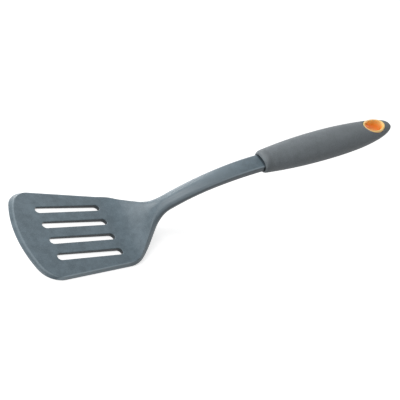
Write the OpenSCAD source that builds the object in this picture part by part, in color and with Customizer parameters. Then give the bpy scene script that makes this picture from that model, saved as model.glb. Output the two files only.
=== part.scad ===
// Slotted kitchen spatula: one nylon moulding for blade, shoulder and neck,
// a hard handle core moulded round its tang, and a soft grip over the core.
// Millimetres. X runs from the front edge to the handle, Z is up, and the
// origin is on the blade's flat underside, midway along the slots.

/* [Blade] */
// Distance between the blade's sides at its front edge
blade_front_w = 82.3; // [74:0.1:92]
// Distance between the blade's sides where the flat part ends
blade_rear_w = 66.9; // [60:0.1:74]
// Length of the flat part, from the front edge to the bend
blade_flat = 73.8; // [73.6:0.1:90]
// Radius of the curved front edge
front_arc_r = 89; // [75:1:130]
// Radius of the two front corners
front_corner_r = 15.8; // [8:0.2:20]
// Thickness of the blade at its front edge, as if it had no bevel
blade_front_t = 1.6; // [1.5:0.1:2.6]
// Thickness of the blade where the flat part ends
blade_rear_t = 3.4; // [2.8:0.1:4.5]
// Height of the thin lip that is left under the bevel
lip_t = 0.5; // [0.4:0.1:1]
// Width of the long bevel behind the front edge
front_bevel = 3.3; // [2.4:0.1:5]
// Width of the bevel down the sides
side_bevel = 1; // [0.6:0.1:2]

/* [Slots] */
// Number of slots, side by side
slot_count = 4; // [2:1:4]
// Width of each slot, and of its round ends
slot_w = 5.7; // [4.5:0.1:7]
// Length of each slot from end to end
slot_len = 52.2; // [30:0.1:52.2]
// Distance from one slot's centre line to the next
slot_pitch = 14.1; // [12:0.1:15]
// Distance from the front edge to the front ends of the slots
slot_start = 21.4; // [18:0.1:21.4]

/* [Shoulder] */
// Distance from the end of the flat to where side and shoulder would meet
shoulder_out = 9.6; // [8.4:0.1:14]
// Angle between the shoulder's edge and the centre line
shoulder_angle = 42.8; // [38:0.1:48]
// Radius of the outside corner between side and shoulder
heel_r = 18.7; // [14:0.1:23]
// Radius of the inside corner between shoulder and neck
throat_r = 26; // [18:0.5:30]
// How far the shoulder's edges droop below its middle
shoulder_crown = 0.5; // [0:0.1:2.4]

/* [Neck] */
// Radius of the bend behind the blade
bend_r = 23.8; // [18:0.1:28]
// Slope of the shoulder just behind the bend
bend_angle = 45; // [38:0.1:47]
// Radius of the shoulder's slow curve up to the neck's root
rise_r = 147; // [110:1:190]
// Steepest slope, just below the neck's root
rise_angle = 53.1; // [49:0.1:56]
// Radius of the curve from the shoulder into the neck
root_r = 50; // [30:1:80]
// Slope of the neck at its root
ramp_angle = 44.1; // [38:0.1:46.5]
// Length of the neck's straight part
ramp_len = 4.7; // [2:0.1:20]
// Radius of the first sweep back towards the handle
low_sweep_r = 164; // [120:1:200]
// Slope where the first sweep ends
sweep_angle = 32.3; // [28:0.1:36]
// Radius of the second sweep
high_sweep_r = 229; // [160:1:280]
// Slope of the handle
handle_angle = 21; // [16:0.5:26]
// Straight stretch of neck before the grip's front rim
neck_lead = 0; // [0:0.1:6]
// Width of the neck where the shoulder runs into it
neck_root_w = 12.9; // [11:0.1:16]
// Thickness of the neck there
neck_root_t = 8; // [6:0.1:10]
// Width of the neck where it enters the grip
neck_end_w = 13.9; // [12:0.1:14]
// Thickness of the neck there
neck_end_t = 5.6; // [5:0.1:5.8]
// Radius of the neck's long edges at the root
neck_root_r = 4; // [2:0.1:4]
// Radius of the neck's long edges at the grip
neck_end_r = 0.9; // [0.7:0.1:2]
// How far the middle of the neck's top stands over its edges
neck_crown = 0.7; // [0:0.1:1]

/* [Tang] */
// Length of the tang inside the handle core
tang_len = 58; // [40:1:70]
// Width of the tang
tang_w = 9.6; // [8:0.1:11]
// Thickness of the tang
tang_t = 4; // [3:0.1:4.6]
// Length of the tapered tip
tang_tip = 8; // [4:0.5:12]
// Width of the flat end of the tip
tang_tip_w = 6; // [4:0.5:8]
// Length of the window that locks the tang
window_len = 14; // [8:1:20]
// Width of the window
window_w = 4.2; // [3:0.1:5]
// Distance from the seat to the front end of the window
window_start = 28; // [16:1:30]

/* [Grip] */
// Length of the handle from its front rim to its end
grip_len = 139; // [136:0.5:160]
// Greatest width of the grip
grip_w = 26.4; // [24:0.2:32]
// Greatest thickness of the grip
grip_t = 21; // [19:0.2:26]
// Width of the grip at its front rim
grip_front_w = 18.6; // [18:0.2:22]
// Thickness of the grip at its front rim
grip_front_t = 16; // [15.4:0.2:18]
// Distance from the front rim to the widest place
wide_at = 69; // [50:1:75]
// Distance from the front rim to the thickest place
thick_at = 47; // [40:1:65]
// Thickness of the soft layer over the core
grip_wall = 2.6; // [2:0.1:3]
// How far the front rim's rounding reaches back along the handle
rim_r = 4; // [2:0.1:4.4]
// Rounding of the mouth of the recess
mouth_r = 0.3; // [0.2:0.1:0.6]
// Width of the recess that the neck enters
recess_w = 15.2; // [15.1:0.1:16.2]
// Height of the recess
recess_h = 9.6; // [9.4:0.1:10.6]
// Depth of the recess behind the rim
recess_depth = 5; // [3:0.5:8]
// How far the recess lies below the handle's axis
recess_drop = 1; // [0.9:0.1:1.1]
// How far the neck lies below the handle's axis
neck_drop = 1; // [0.9:0.1:1.1]
// Thickness of the soft wall that closes the recess round the neck
floor_t = 1.5; // [1:0.1:3]
// Distance from the front rim to where the handle starts to curve up
tail_from = 96; // [70:1:110]
// How far the handle's end has curved up from the straight axis
tail_lift = 2; // [0:0.1:2.4]

/* [Eyelet] */
// Distance from the eyelet's middle to the handle's end
eyelet_back = 21; // [20:0.2:27]
// Length of the eyelet's outside, along the handle
eyelet_len = 22.6; // [17:0.2:24]
// Width of the eyelet's outside
eyelet_w = 15.8; // [13:0.2:16.8]
// Thickness of the eyelet's wall
eyelet_wall = 1.8; // [1.4:0.1:2.6]
// How far the eyelet stands proud of the grip at its middle
eyelet_proud = 0.2; // [0:0.1:1]
// Slope of the eyelet's faces down towards the end of the handle
eyelet_tilt = 1.5; // [-2:0.5:8]
// Radius of the crown of the eyelet's faces, from side to side
eyelet_crown_r = 30; // [20:1:60]

/* [Fits] */
// Gap between the tang and its socket
tang_gap = 0.1; // [0.05:0.05:0.2]
// Gap between the core and the soft grip
bond_gap = 0.05; // [0.02:0.01:0.1]
// Gap between the neck and the soft wall round it
neck_gap = 0.1; // [0.05:0.05:0.3]

/* [Hidden] */

// Shares of the bevel's width and height at each step up the blade's edge
bevel_in_share = [0, 0, 0, 0, 0.33, 0.66, 0.9, 1.02, 1.3];
bevel_up_share = [0, 0, 0, 0, 0.34, 0.68, 0.92, 0.985, 1];
// Rounding of the blade's lower edge, and its steps as shares
edge_r = 0.3;
edge_in_share = [1, 0.3, 0, 0, 0, 0, 0, 0, 0];
edge_up_share = [0, 0.3, 1, 0, 0, 0, 0, 0, 0];
edge_steps = 9;
// How squarely the recess is rounded
recess_square = 2.4;
// Upright stretch between the neck's two rounded edges
neck_side = 0.4;
// Points between the edges across the top and the underside
across = 9;
ring_size = 2*edge_steps + 2*across;
// Facets of the outline and of the rings
corner_steps = 12;
front_steps = 16;
bend_steps = 10;
shoulder_steps = 13;
neck_steps = 14;
grip_round = 40;
grip_rear_steps = 22;
grip_front_steps = 9;
core_steps = 13;
mouth_steps = 2;
rim_steps = 6;
oval_steps = 48;
// How squarely the grip's section is rounded, at the rim and at the end
grip_square_front = 2.2;
grip_square_end = 2.6;
// How the grip narrows towards its end, in width and in thickness
wide_fall = [2, 2.5];
thick_fall = [1.9, 2.4];
// Soft material left behind the core, and the core's least half thickness
end_wall = 5;
core_least = 2;
// Place of the grip's small flat end, as a share of its length
end_share = 0.999;
// Overrun of every cut
over = 1;

// Half the angle of the blade's taper, and the taper as a slope
side_slope = (blade_front_w - blade_rear_w)/2/blade_flat;
side_angle = atan(side_slope);
datum = slot_start + slot_len/2;
eyelet_at = grip_len - eyelet_back;

// Ease from 0 to 1 between two places
function ease(s, a, b) = let (u = min(1, max(0, (s - a)/(b - a)))) u*u*(3 - 2*u);
function mix(a, b, m) = a + (b - a)*m;
function arc_len(r, a) = r*a*PI/180;

// Front corner circle, inside the front arc and against the side
corner_k = blade_front_w/2 - front_corner_r*sqrt(1 + side_slope^2);
corner_b = front_arc_r + corner_k*side_slope;
corner_c = front_arc_r^2 + corner_k^2 - (front_arc_r - front_corner_r)^2;
corner_x = (corner_b - sqrt(corner_b^2 - (1 + side_slope^2)*corner_c))/(1 + side_slope^2);
corner_y = corner_k - side_slope*corner_x;
corner_turn = atan2(corner_y, corner_x - front_arc_r);
side_turn = 90 - side_angle;

// Outline points [x, y, turn], from the near side round the front to the far side
outline = concat(
    [for (i = [0:corner_steps]) let (t = -mix(side_turn, corner_turn, i/corner_steps))
        [corner_x + front_corner_r*cos(t), -corner_y + front_corner_r*sin(t), t]],
    [for (i = [1:front_steps - 1]) let (t = mix(-corner_turn, corner_turn - 360, i/front_steps))
        [front_arc_r + front_arc_r*cos(t), front_arc_r*sin(t), t]],
    [for (i = [0:corner_steps]) let (t = mix(corner_turn, side_turn, i/corner_steps))
        [corner_x + front_corner_r*cos(t), corner_y + front_corner_r*sin(t), t]]
);
outline_size = len(outline);

function blade_t(x) = mix(blade_front_t, blade_rear_t, x/blade_flat);
// The bevel is wide round the front and narrow down the sides
function bevel_w(t) = mix(side_bevel, front_bevel,
    ease(-cos(t), -cos(side_turn), -cos(corner_turn)));
// Step of the blade's edge as [inset, height]
function plate_step(i, bevel, t) = [
    bevel*bevel_in_share[i] + edge_r*edge_in_share[i],
    i < 3 ? edge_r*edge_up_share[i] : mix(lip_t, t, bevel_up_share[i])
];

// Middle line of the head in side view: straights and arcs, as [length, turn]
chain = [
    [blade_flat, 0],
    [arc_len(bend_r, bend_angle), bend_angle],
    [arc_len(rise_r, rise_angle - bend_angle), rise_angle - bend_angle],
    [arc_len(root_r, rise_angle - ramp_angle), ramp_angle - rise_angle],
    [ramp_len, 0],
    [arc_len(low_sweep_r, ramp_angle - sweep_angle), sweep_angle - ramp_angle],
    [arc_len(high_sweep_r, sweep_angle - handle_angle), handle_angle - sweep_angle],
    [grip_len, 0]
];
// Place [x, z, slope] at distance s along the chain
function along(s, k = 0, p = [0, blade_rear_t/2, 0]) =
    let (piece = chain[k], u = min(s, piece[0]), turn = piece[1]*u/piece[0])
    let (r = piece[1] == 0 ? 0 : piece[0]/(piece[1]*PI/180), a = p[2] + turn)
    let (q = piece[1] == 0
        ? [p[0] + u*cos(a), p[1] + u*sin(a), a]
        : [p[0] + r*(sin(a) - sin(p[2])), p[1] + r*(cos(p[2]) - cos(a)), a])
    s <= piece[0] || k == len(chain) - 1 ? q : along(s - piece[0], k + 1, q);
function chain_to(k) = k == 0 ? 0 : chain[k - 1][0] + chain_to(k - 1);

bend_end = chain_to(2);
rim_at = chain_to(7) + neck_lead;
seat = recess_depth + floor_t;

// Half width of the head, flattened out: side, heel arc, shoulder, throat arc, neck
heel_at = blade_flat + shoulder_out;
heel_w = blade_front_w/2 - side_slope*heel_at;
heel_tangent = heel_r*tan((shoulder_angle - side_angle)/2);
heel_from = heel_at - heel_tangent*cos(side_angle);
heel_to = heel_at + heel_tangent*cos(shoulder_angle);
heel_centre = [heel_from - heel_r*sin(side_angle),
    heel_w + heel_tangent*sin(side_angle) - heel_r*cos(side_angle)];
throat_w = neck_root_w/2 + throat_r*(1 - cos(shoulder_angle));
throat_from = heel_at + (heel_w - throat_w)/tan(shoulder_angle);
throat_to = throat_from + throat_r*sin(shoulder_angle);
function half_w(s) =
    s < heel_from ? blade_front_w/2 - side_slope*s
    : s < heel_to ? heel_centre[1] + sqrt(heel_r^2 - (s - heel_centre[0])^2)
    : s < throat_from ? heel_w - tan(shoulder_angle)*(s - heel_at)
    : s < throat_to ? neck_root_w/2 + throat_r - sqrt(throat_r^2 - (throat_to - s)^2)
    : mix(neck_root_w, neck_end_w, ease(s, throat_to, rim_at))/2;
function thick(s) = s < throat_to
    ? mix(blade_rear_t, neck_root_t, ease(s, blade_flat, throat_to))
    : mix(neck_root_t, neck_end_t, ease(s, throat_to, rim_at));
// Droop of the shoulder's edges, which never reach below the blade's underside
function droop(s) = s < throat_to
    ? min(shoulder_crown*sin(180*(s - blade_flat)/(throat_to - blade_flat)),
        along(s)[1]/cos(along(s)[2]) - thick(s)/2) : 0;

// Rounded edge of the neck as [inset, height], with an upright stretch halfway
function neck_step(i, r, t) =
    let (low = min(r, (t - neck_side)/2), a = i < 4 ? 90*i/3 : 90*(i - 4)/4)
    i < 4 ? [low*(1 - sin(a)), low*(1 - cos(a))] : [low*(1 - cos(a)), t - low*(1 - sin(a))];
// Step of the edge at distance s: the blade's bevel turns into the neck's rounding
function edge_step(i, s) =
    let (m = ease(s, heel_to, throat_to), t = thick(s))
    mix(plate_step(i, side_bevel, t),
        neck_step(i, mix(neck_root_r, neck_end_r, ease(s, throat_to, rim_at)), t), m);
// Section of the head as [y, height over the middle line], with room all round
function section(s, room = 0) =
    let (w = half_w(s) + room, t = thick(s), top = edge_step(edge_steps - 1, s)[0])
    let (low = edge_step(0, s)[0], crown = neck_crown*ease(s, heel_to, throat_to))
    let (flat = [for (i = [0:edge_steps - 1]) let (e = edge_step(i, s))
        [w - e[0], e[1]*(t + 2*room)/t - room]])
    let (upper = [for (i = [1:across]) let (v = 1 - 2*i/(across + 1))
        [v*(w - top), t + room + crown*(1 - v*v)]])
    let (under = [for (i = [1:across]) let (v = 2*i/(across + 1) - 1)
        [v*(w - low), -room]])
    let (ring = concat(flat, upper,
        [for (i = [edge_steps - 1:-1:0]) [-flat[i][0], flat[i][1]]], under))
    [for (p = ring) [p[0], p[1] - t/2 - droop(s)*(p[0]/w)^2]];
// The same ring in space
function placed(s) = let (c = along(s))
    [for (p = section(s)) [c[0] - p[1]*sin(c[2]), p[0], c[1] + p[1]*cos(c[2])]];

neck_end = rim_at + seat - bond_gap;
stations = concat(
    [for (i = [0:bend_steps]) mix(blade_flat, bend_end, i/bend_steps)],
    [for (i = [1:shoulder_steps]) mix(bend_end, throat_to, i/shoulder_steps)],
    [for (i = [1:neck_steps]) mix(throat_to, neck_end, i/neck_steps)]
);

// Blade, shoulder and neck as one skin: steps round the blade's edge, then rings
module head_skin() {
    edge = [for (i = [0:edge_steps - 1], p = outline)
        let (e = plate_step(i, bevel_w(p[2]), blade_t(p[0])), x = p[0] - e[0]*cos(p[2]))
        let (up = plate_step(i, bevel_w(p[2]), blade_t(x)))
        [x, p[1] - e[0]*sin(p[2]), up[1]]];
    rings = [for (s = stations) each placed(s)];
    first = len(edge);
    last = len(stations) - 1;
    function ring(k, j) = first + k*ring_size + j % ring_size;
    // One step of the edge, from the near end of the first ring to the far end
    function row(i) = concat([ring(0, 2*edge_steps + across - 1 - i)],
        [for (k = [0:outline_size - 1]) i*outline_size + k], [ring(0, i)]);
    // Flat faces start from the middle of the front edge, and the end face from its side,
    // so that they split cleanly
    apex = (outline_size + 1)/2;
    side = floor(edge_steps/2);
    function turned(list) = [for (i = [0:len(list) - 1]) list[(i + apex) % len(list)]];
    function back(list) = [for (i = [0:len(list) - 1]) list[(len(list) - i) % len(list)]];
    top = turned(concat(row(edge_steps - 1), [for (j = [0:across - 1]) ring(0, edge_steps + j)]));
    under = turned(concat(row(0), [for (j = [across - 1:-1:0]) ring(0, 2*edge_steps + across + j)]));
    faces = concat(
        [top, back(under)],
        [for (i = [0:edge_steps - 2]) let (a = row(i), b = row(i + 1))
            for (k = [0:len(a) - 2]) each [[a[k], a[k + 1], b[k + 1]], [a[k], b[k + 1], b[k]]]],
        [for (k = [0:last - 1], j = [0:ring_size - 1]) each [
            [ring(k, j), ring(k + 1, j), ring(k + 1, j + 1)],
            [ring(k, j), ring(k + 1, j + 1), ring(k, j + 1)]]],
        [[for (j = [ring_size - 1:-1:0]) ring(last, j + side)]]
    );
    polyhedron(points = concat(edge, rings), faces = faces, convexity = 6);
}

// One slot with round ends, upright through the blade
module slot() {
    length = slot_len - slot_w;
    translate([slot_start + slot_w/2, 0, -over]) {
        translate([0, -slot_w/2, 0]) cube([length, slot_w, blade_rear_t + 2*over]);
        cylinder(d = slot_w, h = blade_rear_t + 2*over, $fn = 48);
        translate([length, 0, 0]) cylinder(d = slot_w, h = blade_rear_t + 2*over, $fn = 48);
    }
}

// Handle frame: X along the handle's axis from the rim, Z square to it
module on_handle() {
    c = along(rim_at);
    translate([c[0] - neck_drop*sin(c[2]), 0, c[1] + neck_drop*cos(c[2])])
        rotate([0, -c[2], 0]) children();
}

// Tang in the handle frame, with room all round, from some way before the seat
module tang(room = 0, before = 0) {
    flat = tang_w/2 + room;
    tip = tang_tip_w/2 + room;
    translate([seat, 0, -neck_drop - tang_t/2 - room]) linear_extrude(tang_t + 2*room)
        polygon([[-before, -flat], [tang_len - tang_tip, -flat], [tang_len + room, -tip],
            [tang_len + room, tip], [tang_len - tang_tip, flat], [-before, flat]]);
}

// Window through the tang, or the plug that fills it when room is negative
module window(room = 0) {
    r = window_w/2 + room;
    length = window_len - window_w;
    deep = tang_t + 2*over;
    translate([seat + window_start + window_w/2, 0, -neck_drop - deep/2]) {
        translate([0, -r, 0]) cube([length, 2*r, deep]);
        cylinder(r = r, h = deep, $fn = 32);
        translate([length, 0, 0]) cylinder(r = r, h = deep, $fn = 32);
    }
}

module slotted_head() {
    color("#7c878d") translate([-datum, 0, 0]) {
        difference() {
            head_skin();
            for (i = [0:slot_count - 1])
                translate([0, (i - (slot_count - 1)/2)*slot_pitch, 0]) slot();
        }
        on_handle() difference() {
            tang(before = seat/2);
            window();
        }
    }
}

// Half width and half thickness of the grip at distance u from the rim
function swell(u, at, front, full, fall) = full/2*(u < at
    ? 1 - (1 - front/full)*((at - u)/at)^2
    : (1 - (min(1, (u - at)/(grip_len - at)))^fall[0])^(1/fall[1]));
function grip_half_w(u) = swell(u, wide_at, grip_front_w, grip_w, wide_fall);
function grip_half_t(u) = swell(u, thick_at, grip_front_t, grip_t, thick_fall);
function square_at(u) = mix(grip_square_front, grip_square_end, u/grip_len);
function lift(u) = tail_lift*(max(0, u - tail_from)/(grip_len - tail_from))^2;
// Closed ring of a rounded section at u, with its middle moved by z
function oval_ring(u, a, b, z, n) = [for (i = [0:grip_round - 1])
    let (t = 360*i/grip_round, c = cos(t), s = sin(t))
    [u, a*sign(c)*abs(c)^(2/n), z + b*sign(s)*abs(s)^(2/n)]];

// Skin through a list of equal rings, closed at both ends
module ring_skin(rings) {
    n = len(rings[0]);
    last = len(rings) - 1;
    faces = concat(
        [[for (j = [0:n - 1]) j], [for (j = [n - 1:-1:0]) last*n + j]],
        [for (k = [0:last - 1], j = [0:n - 1]) let (a = k*n + j, b = k*n + (j + 1) % n)
            each [[a, a + n, b + n], [a, b + n, b]]]
    );
    polyhedron(points = [for (r = rings) each r], faces = faces, convexity = 8);
}

// Soft outside of the handle, with its rounded rim and the recess for the neck
module grip_form() {
    function outside(u) = oval_ring(u, grip_half_w(u), grip_half_t(u), lift(u), square_at(u));
    recess = [for (u = [recess_depth, mouth_r])
        oval_ring(u, recess_w/2, recess_h/2, -recess_drop, recess_square)];
    mouth = [for (i = [1:mouth_steps]) let (a = 90*i/mouth_steps, r = mouth_r*(1 - cos(a)))
        oval_ring(mouth_r*(1 - sin(a)), recess_w/2 + r, recess_h/2 + r, -recess_drop, recess_square)];
    rim = [for (i = [1:rim_steps - 1]) let (a = 90*i/rim_steps, m = sin(a))
        oval_ring(rim_r*(1 - cos(a)),
            mix(recess_w/2 + mouth_r, grip_half_w(rim_r), m),
            mix(recess_h/2 + mouth_r, grip_half_t(rim_r), m),
            -recess_drop*(1 - m), mix(recess_square, square_at(rim_r), m))];
    front = [for (i = [0:grip_front_steps - 1])
        outside(mix(rim_r, wide_at, i/grip_front_steps))];
    rear = [for (i = [0:grip_rear_steps])
        outside(mix(wide_at, grip_len*end_share, sin(90*i/grip_rear_steps)))];
    ring_skin(concat(recess, mouth, rim, front, rear));
}

// Hard body inside the grip, from the seat to the wall behind the eyelet
module core_form(room = 0) {
    from = seat - room;
    to = grip_len - end_wall + room;
    steps = core_steps;
    inner = grip_wall - room;
    ring_skin([for (i = [0:steps]) let (u = mix(from, to, sin(90*i/steps)))
        oval_ring(u, max(core_least + room, grip_half_w(u) - inner),
            max(core_least + room, grip_half_t(u) - inner),
            lift(u), square_at(u))]);
}

// Upright oval prism at the eyelet
module eyelet_oval(length, width, height) {
    translate([eyelet_at, 0, -height/2]) linear_extrude(height)
        polygon([for (i = [0:oval_steps - 1]) let (t = 360*i/oval_steps)
            [length/2*cos(t), width/2*sin(t)]]);
}

// Eyelet's outside, crowned from side to side and sloped to follow the grip
module eyelet_form() {
    top = grip_half_t(eyelet_at) + eyelet_proud;
    module crown() {
        translate([eyelet_at, 0, top]) rotate([0, eyelet_tilt, 0])
            translate([-eyelet_len, 0, -eyelet_crown_r])
            rotate([0, 90, 0]) cylinder(r = eyelet_crown_r, h = 2*eyelet_len, $fn = 96);
    }
    translate([0, 0, lift(eyelet_at)]) intersection() {
        eyelet_oval(eyelet_len, eyelet_w, 2*grip_t);
        crown();
        mirror([0, 0, 1]) crown();
    }
}

module handle_core() {
    color("#f08a1c") translate([-datum, 0, 0]) on_handle() difference() {
        union() {
            core_form();
            eyelet_form();
        }
        difference() {
            tang(room = tang_gap, before = over);
            window(room = -tang_gap);
        }
        eyelet_oval(eyelet_len - 2*eyelet_wall, eyelet_w - 2*eyelet_wall, 2*grip_t);
    }
}

module soft_grip() {
    color("#6d7173") translate([-datum, 0, 0]) on_handle() difference() {
        grip_form();
        core_form(room = bond_gap);
        // Way through for the neck
        translate([recess_depth - over, 0, -neck_drop]) rotate([90, 0, 90])
            linear_extrude(floor_t + 2*over) polygon(section(rim_at, neck_gap));
        eyelet_oval(eyelet_len + 2*bond_gap, eyelet_w + 2*bond_gap, 2*grip_t);
    }
}

slotted_head();
handle_core();
soft_grip();
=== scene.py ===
from math import radians

import bmesh
import bpy
from mathutils import Euler, Matrix, Vector


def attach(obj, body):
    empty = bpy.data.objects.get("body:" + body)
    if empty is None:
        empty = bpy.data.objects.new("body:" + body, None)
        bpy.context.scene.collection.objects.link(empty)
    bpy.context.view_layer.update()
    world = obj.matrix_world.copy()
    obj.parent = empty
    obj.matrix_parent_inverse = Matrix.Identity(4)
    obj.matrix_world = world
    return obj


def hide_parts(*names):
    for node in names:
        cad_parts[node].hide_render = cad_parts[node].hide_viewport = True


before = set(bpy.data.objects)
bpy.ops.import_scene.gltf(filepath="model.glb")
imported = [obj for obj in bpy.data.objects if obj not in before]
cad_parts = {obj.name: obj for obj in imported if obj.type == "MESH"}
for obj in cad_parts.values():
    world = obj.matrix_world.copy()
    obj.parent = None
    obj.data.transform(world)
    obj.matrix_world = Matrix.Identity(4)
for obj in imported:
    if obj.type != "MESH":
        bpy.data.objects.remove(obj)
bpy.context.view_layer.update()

scene = bpy.context.scene

# where the handle starts and how it is tilted, as in the CAD
handle = {
    "rim": (0.13174, 0.0, 0.07552),
    "slope": 21.0,  # degrees
    "eyeletAt": 0.118,  # up the handle from its rim
}

# in the materials' dictionaries, a noise is (scale, detail, roughness), a bump is
# (strength, distance), a ramp is (from, to, value at from, value at to), and a band is
# 0 at its outer two stops and 1 between its inner two; lengths are in metres
noiseSpan = (0.3, 0.7)  # nearly all of a noise lies between these


def newMaterial(name):
    mat = bpy.data.materials.new(name)
    mat.use_nodes = True
    tree = mat.node_tree
    where = tree.nodes.new("ShaderNodeTexCoord").outputs["Object"]
    return mat, tree, tree.nodes["Principled BSDF"], where


def feed(tree, socket, value):
    # value is another node's output, or a plain number or colour
    if isinstance(value, bpy.types.NodeSocket):
        tree.links.new(value, socket)
    else:
        socket.default_value = value


def setShader(tree, shader, values):
    for name, value in values.items():
        feed(tree, shader.inputs[name], value)


def noise(tree, vector, settings):
    node = tree.nodes.new("ShaderNodeTexNoise")
    for name, number in zip(("Scale", "Detail", "Roughness"), settings):
        node.inputs[name].default_value = number
    tree.links.new(vector, node.inputs["Vector"])
    return node.outputs["Fac"]


def remap(tree, value, ramp):
    node = tree.nodes.new("ShaderNodeMapRange")
    for name, number in zip(("From Min", "From Max", "To Min", "To Max"), ramp):
        node.inputs[name].default_value = number
    tree.links.new(value, node.inputs["Value"])
    return node.outputs["Result"]


def maths(tree, operation, a, b=0.0):
    node = tree.nodes.new("ShaderNodeMath")
    node.operation = operation
    feed(tree, node.inputs[0], a)
    feed(tree, node.inputs[1], b)
    return node.outputs["Value"]


def times(tree, a, b):
    return maths(tree, "MULTIPLY", a, b)


def plus(tree, a, b):
    return maths(tree, "ADD", a, b)


def absolute(tree, a):
    return maths(tree, "ABSOLUTE", a)


def band(tree, value, stops):
    rise, full, fade, gone = stops
    return times(tree, remap(tree, value, (rise, full, 0.0, 1.0)),
                 remap(tree, value, (fade, gone, 1.0, 0.0)))


def layered(tree, base, layers):
    # each layer is (how strongly it covers, its colour)
    for cover, color in layers:
        node = tree.nodes.new("ShaderNodeMix")
        node.data_type = "RGBA"
        # a Mix node's colour sockets are 6 and 7 in, 2 out
        for slot, value in ((0, cover), (6, base), (7, color)):
            feed(tree, node.inputs[slot], value)
        base = node.outputs[2]
    return base


def mottled(tree, cloud, speck, look):
    # the dark and light shades, mixed by coarse and fine noise
    tone = plus(tree, times(tree, cloud, look["cloudShare"]),
                times(tree, speck, look["speckShare"]))
    return layered(tree, look["dark"], [(remap(tree, tone, look["toneRamp"]), look["light"])])


def axesOf(tree, vector):
    axes = tree.nodes.new("ShaderNodeSeparateXYZ")
    tree.links.new(vector, axes.inputs["Vector"])
    return axes.outputs["X"], axes.outputs["Y"], axes.outputs["Z"]


def handleAxes(tree, where):
    # x runs up the handle from its rim, z is square to its middle plane
    turn = tree.nodes.new("ShaderNodeMapping")
    turn.vector_type = "TEXTURE"
    turn.inputs["Location"].default_value = handle["rim"]
    turn.inputs["Rotation"].default_value = (0.0, -radians(handle["slope"]), 0.0)
    tree.links.new(where, turn.inputs["Vector"])
    return axesOf(tree, turn.outputs["Vector"])


def bumpChain(tree, shader, layers):
    # each layer is (height, its bump)
    last = None
    for height, (strength, distance) in layers:
        node = tree.nodes.new("ShaderNodeBump")
        node.inputs["Strength"].default_value = strength
        node.inputs["Distance"].default_value = distance
        tree.links.new(height, node.inputs["Height"])
        if last:
            tree.links.new(last, node.inputs["Normal"])
        last = node.outputs["Normal"]
    tree.links.new(last, shader.inputs["Normal"])


# grey nylon of the blade, shoulder and neck
nylon = {
    "dark": (0.077, 0.109, 0.130, 1.0),
    "light": (0.130, 0.177, 0.208, 1.0),
    # this colour is for the scratches and also the painted highlight up the neck
    "scuffAndHighlight": (0.19, 0.235, 0.265, 1.0),
    # this colour is mostly painted highlight on crests, edges and lines, with some wear
    "wornAndHighlight": (0.235, 0.29, 0.325, 1.0),
    "shade": (0.016, 0.021, 0.025, 1.0),
    "roughness": (0.33, 0.42),
    "scuffRoughness": 0.12,
    "specular": 0.4,
    "cloud": (150.0, 5.0, 0.65),
    "speck": (1500.0, 3.0, 0.6),
    "cloudShare": 0.6,
    "speckShare": 0.4,
    "toneRamp": (0.38, 0.62, 0.0, 1.0),
    "grain": (2600.0, 2.0, 0.5),
    "grainBump": (0.2, 0.00003),
    "swell": (420.0, 2.0, 0.5),
    "swellBump": (0.2, 0.00004),
    "streakStretch": (40.0, 1100.0, 300.0),
    "streak": (1.0, 4.0, 0.65),
    "streakRamp": (0.56, 0.72, 0.0, 1.0),
    "streakBump": (0.05, 0.00003),
    "lipRamp": (-0.0473, -0.0173, 0.22, 0.05),  # scratches, by x behind the front lip
    "shoulderBand": (0.026, 0.034, 0.046, 0.056),  # by x
    # painted shade on the shoulder, painted highlight up the neck
    "shoulderPaintedShade": 0.2,
    "neckBand": (0.052, 0.064, 0.09, 0.13),
    "neckPaintedHighlight": 0.65,
    "bladeTop": (0.0027605, 0.0244),  # height at the origin and rise along x
    "slotBand": (-0.0272, -0.0266, 0.0266, 0.0272),
    "slotRamp": (0.0240, 0.0250, 1.0, 0.0),  # by distance from the middle plane
    # painted highlight along the crests
    "crestBand": (0.00002, 0.0001, 0.0003, 0.0006),  # by depth below the blade's top
    "crestRamp": (0.0, 1.0, 0.7, 0.2),  # on the bevel, and at the slots
    "crestPatches": (0.35, 0.65, 0.5, 1.0),
    # painted highlight and some wear on the rounded edges
    "roundBand": (0.3, 0.45, 0.75, 0.9),  # by how far the surface faces sideways
    "roundUp": (0.1, 0.3, 0.0, 0.35),  # by how far it faces up
    "roundFrom": (0.03, 0.05, 0.0, 1.0),  # by x
    "bladeTaper": 0.102,  # half width lost along x
    # painted highlight along the blade's sides and the neck's edges
    "bladeRim": (0.0342, 0.0350, 0.0, 1.0),  # by distance from the middle, taper taken out
    "bladeRimBand": (-0.04, -0.034, 0.026, 0.032),
    "neckRim": (0.0055, 0.0061, 0.0, 0.9),
    "neckRimFrom": (0.07, 0.08, 0.0, 1.0),
    "rimUp": (0.25, 0.45, 0.0, 1.0),
    # painted shade on the neck's sides
    "sideRamp": (0.8, 0.95, 0.0, 0.4),
    "sideFrom": (0.045, 0.06, 0.0, 1.0),
    # painted shade on the slots' walls and at the handle's mouth
    "wallDepth": (0.0003, 0.0007, 0.0, 0.8),  # by depth below the blade's top
    "wallUp": (0.3, 0.7, 1.0, 0.0),
    "mouthRamp": (-0.0013, -0.0006, 0.0, 0.6),  # by distance up the handle from its rim
}


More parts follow.
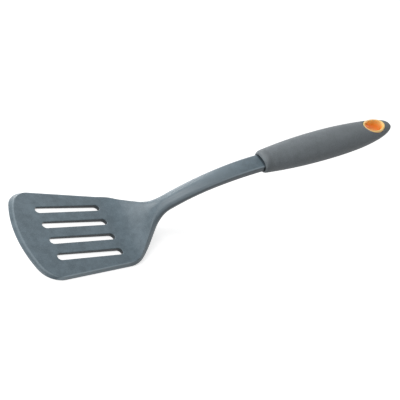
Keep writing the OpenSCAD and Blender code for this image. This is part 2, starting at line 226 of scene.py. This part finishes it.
def nylonMaterial():
    mat, tree, shader, where = newMaterial("greyNylon")
    along, across, up = axesOf(tree, where)
    away = absolute(tree, across)
    normal = axesOf(tree, tree.nodes.new("ShaderNodeNewGeometry").outputs["Normal"])
    sideways, facingUp = absolute(tree, normal[1]), normal[2]
    cloud = noise(tree, where, nylon["cloud"])
    speck = noise(tree, where, nylon["speck"])
    # fine scratches along the blade, strongest at the front lip
    stretch = tree.nodes.new("ShaderNodeMapping")
    stretch.inputs["Scale"].default_value = nylon["streakStretch"]
    tree.links.new(where, stretch.inputs["Vector"])
    streak = noise(tree, stretch.outputs["Vector"], nylon["streak"])
    streak = remap(tree, streak, nylon["streakRamp"])
    scuffs = times(tree, streak, remap(tree, along, nylon["lipRamp"]))
    # painted shade: a little darker on the shoulder; painted highlight: paler up the neck
    shoulder = times(tree, band(tree, along, nylon["shoulderBand"]), nylon["shoulderPaintedShade"])
    neck = times(tree, band(tree, along, nylon["neckBand"]), nylon["neckPaintedHighlight"])
    # painted highlight, in patches, along the crests just below the blade's flat top
    height, rise = nylon["bladeTop"]
    depth = maths(tree, "SUBTRACT", plus(tree, times(tree, along, rise), height), up)
    slots = times(tree, band(tree, along, nylon["slotBand"]), remap(tree, away, nylon["slotRamp"]))
    crestHighlight = times(tree, band(tree, depth, nylon["crestBand"]),
                  remap(tree, slots, nylon["crestRamp"]))
    crestHighlight = times(tree, crestHighlight, remap(tree, speck, nylon["crestPatches"]))
    # the rounded edges of the shoulder and neck are paler, partly worn and partly a painted
    # highlight
    rounded = times(tree, remap(tree, facingUp, nylon["roundUp"]),
                    remap(tree, along, nylon["roundFrom"]))
    rounded = times(tree, band(tree, sideways, nylon["roundBand"]), rounded)
    # painted highlight: a pale line along the blade's sides and the neck's edges
    reach = plus(tree, away, times(tree, along, nylon["bladeTaper"]))
    bladeLine = times(tree, remap(tree, reach, nylon["bladeRim"]),
                      band(tree, along, nylon["bladeRimBand"]))
    neckLine = times(tree, remap(tree, away, nylon["neckRim"]),
                     remap(tree, along, nylon["neckRimFrom"]))
    line = times(tree, maths(tree, "MAXIMUM", bladeLine, neckLine),
                 remap(tree, facingUp, nylon["rimUp"]))
    # painted shade: darker sides of the neck
    sides = times(tree, remap(tree, sideways, nylon["sideRamp"]),
                  remap(tree, along, nylon["sideFrom"]))
    # painted shade on the slots' walls and in the gap at the handle's mouth
    walls = times(tree, slots, remap(tree, depth, nylon["wallDepth"]))
    walls = times(tree, walls, remap(tree, absolute(tree, facingUp), nylon["wallUp"]))
    mouth = remap(tree, handleAxes(tree, where)[0], nylon["mouthRamp"])
    rough = remap(tree, cloud, noiseSpan + nylon["roughness"])
    setShader(tree, shader, {
        "Base Color": layered(tree, mottled(tree, cloud, speck, nylon), [
            (scuffs, nylon["scuffAndHighlight"]),
            (shoulder, nylon["dark"]),
            (neck, nylon["scuffAndHighlight"]),
            (crestHighlight, nylon["wornAndHighlight"]),
            (rounded, nylon["wornAndHighlight"]),
            (line, nylon["wornAndHighlight"]),
            (sides, nylon["shade"]),
            (maths(tree, "MAXIMUM", walls, mouth), nylon["shade"]),
        ]),
        "Roughness": plus(tree, rough, times(tree, scuffs, nylon["scuffRoughness"])),
        "Specular IOR Level": nylon["specular"],
    })
    bumpChain(tree, shader, [
        (noise(tree, where, nylon["grain"]), nylon["grainBump"]),
        (noise(tree, where, nylon["swell"]), nylon["swellBump"]),
        (streak, nylon["streakBump"]),
    ])
    return mat


# soft-touch rubber of the grip
rubber = {
    "dark": (0.142, 0.161, 0.173, 1.0),
    "light": (0.202, 0.228, 0.244, 1.0),
    "palm": (0.125, 0.139, 0.148, 1.0),
    # painted shade inside the recess round the neck
    "recess": (0.02, 0.023, 0.025, 1.0),
    "roughness": (0.5, 0.62),
    "specular": 0.3,
    "sheen": 0.08,
    "sheenRoughness": 0.4,
    "cloud": (130.0, 5.0, 0.65),
    "speck": (1400.0, 3.0, 0.6),
    "cloudShare": 0.5,
    "speckShare": 0.5,
    "toneRamp": (0.38, 0.62, 0.0, 1.0),
    "grain": (3200.0, 2.0, 0.5),
    "grainBump": (0.3, 0.00006),
    "swell": (110.0, 2.0, 0.5),
    "swellBump": (0.25, 0.00012),
    "palmRamp": (0.15, 0.21, 0.0, 0.35),  # by x
    # painted shade on the rim's rounded shoulder
    "rimBand": (0.0005, 0.0012, 0.004, 0.007),  # by distance up the handle from its rim
    "rimPaintedShade": 0.45,
    "mouthSize": (0.0079, 0.0051),  # half width, half height
    "mouthDrop": 0.001,
    "mouthPower": 2.4,  # 2 is an ellipse, more is squarer
    "mouthRamp": (0.97, 1.05, 0.8, 0.0),
    "recessRamp": (0.02, 0.03, 1.0, 0.0),
}


def rubberMaterial():
    mat, tree, shader, where = newMaterial("softTouchGrey")
    cloud = noise(tree, where, rubber["cloud"])
    speck = noise(tree, where, rubber["speck"])
    # a darker patch where the palm holds it
    palm = times(tree, remap(tree, axesOf(tree, where)[0], rubber["palmRamp"]), cloud)
    # painted shade on the rim's rounded shoulder and on the walls of the recess round the neck
    along, across, up = handleAxes(tree, where)
    rim = times(tree, band(tree, along, rubber["rimBand"]), rubber["rimPaintedShade"])
    halfWidth, halfHeight = rubber["mouthSize"]
    side = maths(tree, "DIVIDE", absolute(tree, across), halfWidth)
    lift = maths(tree, "DIVIDE", absolute(tree, plus(tree, up, rubber["mouthDrop"])), halfHeight)
    oval = plus(tree, maths(tree, "POWER", side, rubber["mouthPower"]),
                maths(tree, "POWER", lift, rubber["mouthPower"]))
    recessShadeMask = times(tree, remap(tree, oval, rubber["mouthRamp"]),
                   remap(tree, along, rubber["recessRamp"]))
    setShader(tree, shader, {
        "Base Color": layered(tree, mottled(tree, cloud, speck, rubber), [
            (palm, rubber["palm"]),
            # the palm's colour, used here as painted shade on the rim
            (rim, rubber["palm"]),
            (recessShadeMask, rubber["recess"]),
        ]),
        "Roughness": remap(tree, cloud, noiseSpan + rubber["roughness"]),
        "Specular IOR Level": rubber["specular"],
        "Sheen Weight": rubber["sheen"],
        "Sheen Roughness": rubber["sheenRoughness"],
    })
    bumpChain(tree, shader, [
        (noise(tree, where, rubber["grain"]), rubber["grainBump"]),
        (noise(tree, where, rubber["swell"]), rubber["swellBump"]),
    ])
    return mat


# orange plastic of the core, seen at the hanging eyelet
orange = {
    "deep": (1.0, 0.32, 0.01, 1.0),
    # painted highlight towards the eyelet's mouths
    "rim": (1.0, 0.70, 0.28, 1.0),
    "glow": (1.0, 0.4, 0.04, 1.0),  # painted light: the orange glows a little
    "paintedGlowStrength": 0.07,
    "roughness": (0.25, 0.36),
    "subsurface": 0.2,
    "subsurfaceScale": 0.002,
    "coat": 0.15,
    "coatRoughness": 0.2,
    "cloud": (260.0, 3.0, 0.55),
    "grain": (900.0, 2.0, 0.5),
    "grainBump": (0.15, 0.00005),
    "lipRamp": (0.0013, 0.0061, 0.0, 1.0),  # by distance from the handle's middle plane
    "lipPatches": (0.85, 1.0),
}


def orangeMaterial():
    mat, tree, shader, where = newMaterial("orangePlastic")
    cloud = noise(tree, where, orange["cloud"])
    # painted highlight: paler towards the eyelet's two mouths
    lip = remap(tree, absolute(tree, handleAxes(tree, where)[2]), orange["lipRamp"])
    lip = times(tree, lip, remap(tree, cloud, noiseSpan + orange["lipPatches"]))
    setShader(tree, shader, {
        "Base Color": layered(tree, orange["deep"], [(lip, orange["rim"])]),
        "Roughness": remap(tree, cloud, noiseSpan + orange["roughness"]),
        "Subsurface Weight": orange["subsurface"],
        "Subsurface Scale": orange["subsurfaceScale"],
        # painted light: a faint orange glow
        "Emission Color": orange["glow"],
        "Emission Strength": orange["paintedGlowStrength"],
        "Coat Weight": orange["coat"],
        "Coat Roughness": orange["coatRoughness"],
    })
    bumpChain(tree, shader, [(noise(tree, where, orange["grain"]), orange["grainBump"])])
    return mat


def softenEdges(bm, form, isSoftEdge):
    sharp = [e for e in bm.edges if e.is_manifold
             and e.calc_face_angle() > radians(form["sharpAngle"]) and isSoftEdge(e)]
    bmesh.ops.bevel(bm, geom=sharp, offset=form["softEdge"], offset_type="OFFSET", affect="EDGES",
                    segments=form["edgeSteps"], profile=0.5, material=-1, clamp_overlap=False)
    print(len(sharp), "edges softened")


def dressedCopy(nodeName, pieceName, form, isSoftEdge=None):
    bm = bmesh.new()
    bm.from_mesh(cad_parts[nodeName].data)
    bmesh.ops.remove_doubles(bm, verts=bm.verts, dist=form["mergeDist"])
    bmesh.ops.dissolve_degenerate(bm, edges=bm.edges, dist=form["mergeDist"])
    if isSoftEdge:
        softenEdges(bm, form, isSoftEdge)
    for face in bm.faces:
        face.smooth = True
        face.material_index = 0
    mesh = bpy.data.meshes.new(pieceName)
    bm.to_mesh(mesh)
    bm.free()
    piece = bpy.data.objects.new(pieceName, mesh)
    scene.collection.objects.link(piece)
    mesh.set_sharp_from_angle(angle=radians(form["sharpAngle"]))
    weighted = piece.modifiers.new("weightedNormals", "WEIGHTED_NORMAL")
    weighted.keep_sharp = True
    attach(piece, "root")
    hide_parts(nodeName)
    print(pieceName, len(mesh.polygons), "faces")
    return piece


def paint(piece, material):
    piece.data.materials.clear()
    piece.data.materials.append(material)


headForm = {
    "mergeDist": 0.000002,
    "sharpAngle": 50.0,
    "softEdge": 0.00035,
    "edgeSteps": 3,
    "slotStart": -0.0265,
    "slotEnd": 0.0262,  # only the slots' edges, ahead of the bend
    "slotReach": 0.0245,
}


def isSlotEdge(edge):
    return all(headForm["slotStart"] < v.co.x < headForm["slotEnd"]
               and abs(v.co.y) < headForm["slotReach"] for v in edge.verts)


head = dressedCopy("slotted_head", "slottedBlade", headForm, isSlotEdge)
paint(head, nylonMaterial())

gripForm = {
    "mergeDist": 0.000002,
    "sharpAngle": 50.0,
}
grip = dressedCopy("soft_grip", "softGripSleeve", gripForm)
paint(grip, rubberMaterial())

eyeletForm = {
    "mergeDist": 0.000002,
    "sharpAngle": 55.0,
    "softEdge": 0.0005,
    "edgeSteps": 4,
    "mouthHeight": 0.005,  # the mouths' edges lie beyond this, either side of the middle plane
    "mouthReach": 0.0125,
}
toHandle = (Matrix.Translation(handle["rim"])
            @ Matrix.Rotation(-radians(handle["slope"]), 4, "Y")).inverted()


def isMouthEdge(edge):
    local = [toHandle @ v.co for v in edge.verts]
    return all(abs(p.z) > eyeletForm["mouthHeight"]
               and abs(p.x - handle["eyeletAt"]) < eyeletForm["mouthReach"] for p in local)


eyelet = dressedCopy("handle_core", "hangingEyelet", eyeletForm, isMouthEdge)
paint(eyelet, orangeMaterial())
print("pieces done")

studio = {
    "white": (1.0, 1.0, 1.0, 1.0),
    "ambient": 0.26,
    "floorColor": (0.66, 0.66, 0.66, 1.0),
    "floorRoughness": 0.9,
    "floorReach": 2.5,
    "floorHeight": -0.0002,
    "floorGlow": (0.2, 0.6, 0.65, 0.82),  # a ramp by distance from the blade
    "aim": (0.06, 0.0, 0.04),
    "lamps": {  # place, width and power
        "keyLight": ((-0.46, 0.59, 0.17), 0.32, 3.5),
        "topLight": ((-0.30, 0.04, 0.52), 0.30, 1.7),
        "backLight": ((0.12, 0.60, 0.17), 0.32, 1.3),
    },
}


def softLight(name, place, width, power):
    data = bpy.data.lights.new(name, "AREA")
    data.shape = "DISK"
    data.size = width
    data.energy = power
    lamp = bpy.data.objects.new(name, data)
    lamp.location = place
    outward = Vector(place) - Vector(studio["aim"])
    lamp.rotation_euler = outward.to_track_quat("Z", "Y").to_euler()
    scene.collection.objects.link(lamp)


for lampName, (place, width, power) in studio["lamps"].items():
    softLight(lampName, place, width, power)


def seenDirectly(tree):
    # 1 for the camera and for what it sees mirrored or through glass
    path = tree.nodes.new("ShaderNodeLightPath").outputs
    direct = maths(tree, "MAXIMUM", path["Is Camera Ray"], path["Is Glossy Ray"])
    return maths(tree, "MAXIMUM", direct, path["Is Transmission Ray"])


world = bpy.data.worlds.new("paleStudio")
scene.world = world
world.use_nodes = True
tree = world.node_tree
background = tree.nodes["Background"]
background.inputs["Color"].default_value = studio["white"]
strength = remap(tree, seenDirectly(tree), (0.0, 1.0, studio["ambient"], 1.0))
tree.links.new(strength, background.inputs["Strength"])

bm = bmesh.new()
bmesh.ops.create_grid(bm, x_segments=1, y_segments=1, size=studio["floorReach"])
floorMesh = bpy.data.meshes.new("paleFloor")
bm.to_mesh(floorMesh)
bm.free()
floor = bpy.data.objects.new("paleFloor", floorMesh)
floor.location = (0.0, 0.0, studio["floorHeight"])
scene.collection.objects.link(floor)
floorMat, tree, shader, where = newMaterial("paleFloor")
distance = tree.nodes.new("ShaderNodeVectorMath")
distance.operation = "LENGTH"
tree.links.new(where, distance.inputs[0])
glow = remap(tree, distance.outputs["Value"], studio["floorGlow"])
setShader(tree, shader, {
    "Base Color": studio["floorColor"],
    "Roughness": studio["floorRoughness"],
    "Emission Color": studio["white"],
    "Emission Strength": times(tree, glow, seenDirectly(tree)),
})
floorMesh.materials.append(floorMat)
print("studio done")

view = {
    "location": (-0.24195, -0.24625, 0.29063),
    "rotation": (52.898, -29.495, -33.451),
    "lens": 56.679,
    "sensor": 36.0,
}
cameraData = bpy.data.cameras.new("productCamera")
cameraData.sensor_width = view["sensor"]
cameraData.lens = view["lens"]
camera = bpy.data.objects.new("productCamera", cameraData)
camera.location = view["location"]
camera.rotation_euler = Euler([radians(a) for a in view["rotation"]], "XYZ")
scene.collection.objects.link(camera)
scene.camera = camera

scene.view_settings.view_transform = "Standard"

print("scene done")
